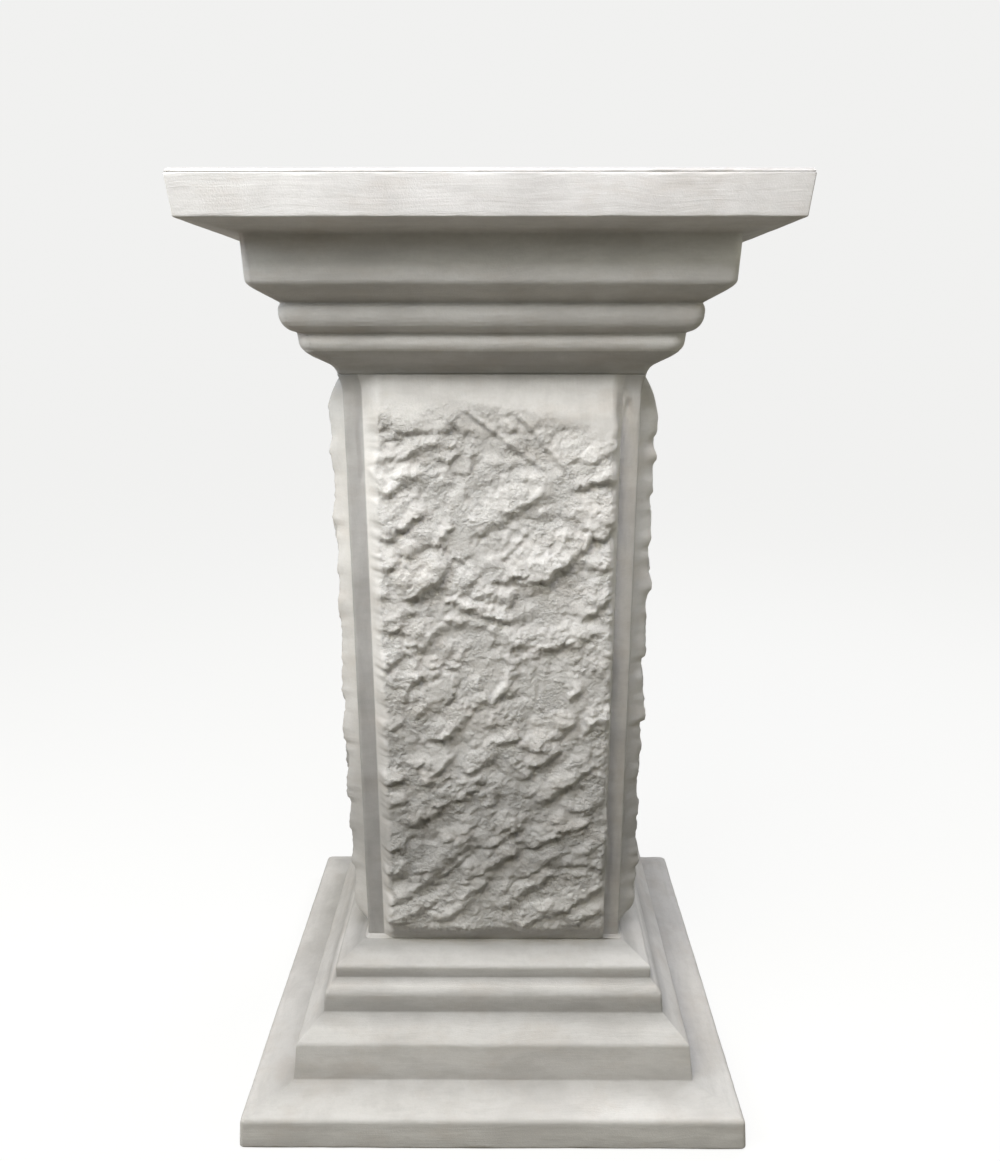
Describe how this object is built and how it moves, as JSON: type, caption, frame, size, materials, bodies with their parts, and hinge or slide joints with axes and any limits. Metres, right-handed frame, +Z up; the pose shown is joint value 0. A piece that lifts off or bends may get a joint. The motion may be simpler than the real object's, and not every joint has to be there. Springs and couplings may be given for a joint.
{
  "type": "pedestal column",
  "caption": "Square pedestal column with a stepped base, a rock-faced shaft between smooth margins, and a moulded capital under a broad flat slab for a statue or planter.",
  "frame": {"origin": "centre of the underside", "axes": "+Z up along the column, -Y out of the face seen in the picture, +X to its right"},
  "size_m": [0.424, 0.424, 0.7465],
  "materials": {
    "cast_stone": "off-white painted cast stone, matt, brushed"
  },
  "bodies": {
    "root": {"base": "cast_stone", "shaft": "cast_stone", "capital": "cast_stone"}
  },
  "joints": []
}
